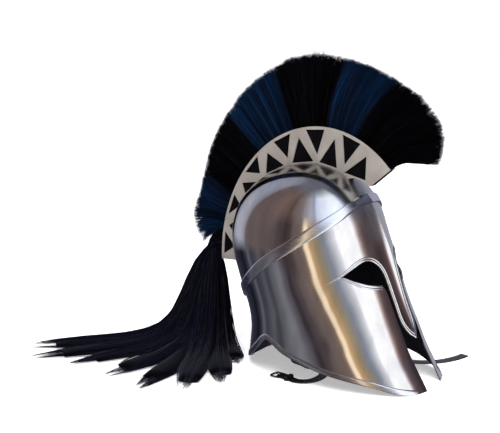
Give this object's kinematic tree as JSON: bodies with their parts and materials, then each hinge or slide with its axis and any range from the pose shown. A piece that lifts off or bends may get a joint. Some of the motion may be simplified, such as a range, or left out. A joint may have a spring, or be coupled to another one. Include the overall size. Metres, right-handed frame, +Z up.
{
  "type": "corinthian helmet",
  "caption": "Polished steel Corinthian helmet with pierced crest holder, banded black and blue brush crest, long tail plume and chin strap.",
  "frame": {"origin": "the floor point where the underside of the neck guard rests, in the helmet's middle plane", "axes": "+Z up from the floor it rests on, the face looks along -Y, +X is the wearer's left"},
  "size_m": [0.3528, 0.5643, 0.4209],
  "materials": {
    "mirror_steel": "mirror polished",
    "satin_steel": "satin",
    "core_black": "painted black",
    "hair_black": "dyed stiff hair",
    "hair_blue": "dyed stiff hair",
    "leather_black": "smooth",
    "buckle_black": "blackened"
  },
  "bodies": {
    "root": {"helmet_shell": "mirror_steel", "brow_band": "mirror_steel", "crest_core": "core_black", "crest_plate_right": "satin_steel", "crest_plate_left": "satin_steel", "plume_nape_blue": "hair_blue", "plume_back_black": "hair_black", "plume_back_blue": "hair_blue", "plume_top_black": "hair_black", "plume_front_blue": "hair_blue", "plume_front_black": "hair_black", "plume_tail": "hair_black", "chin_strap_right": "leather_black", "strap_fold_right": "leather_black", "strap_keeper_right": "leather_black", "strap_buckle_right": "buckle_black", "strap_rivet_right": "mirror_steel", "chin_strap_left": "leather_black", "strap_rivet_left": "mirror_steel"}
  },
  "joints": []
}
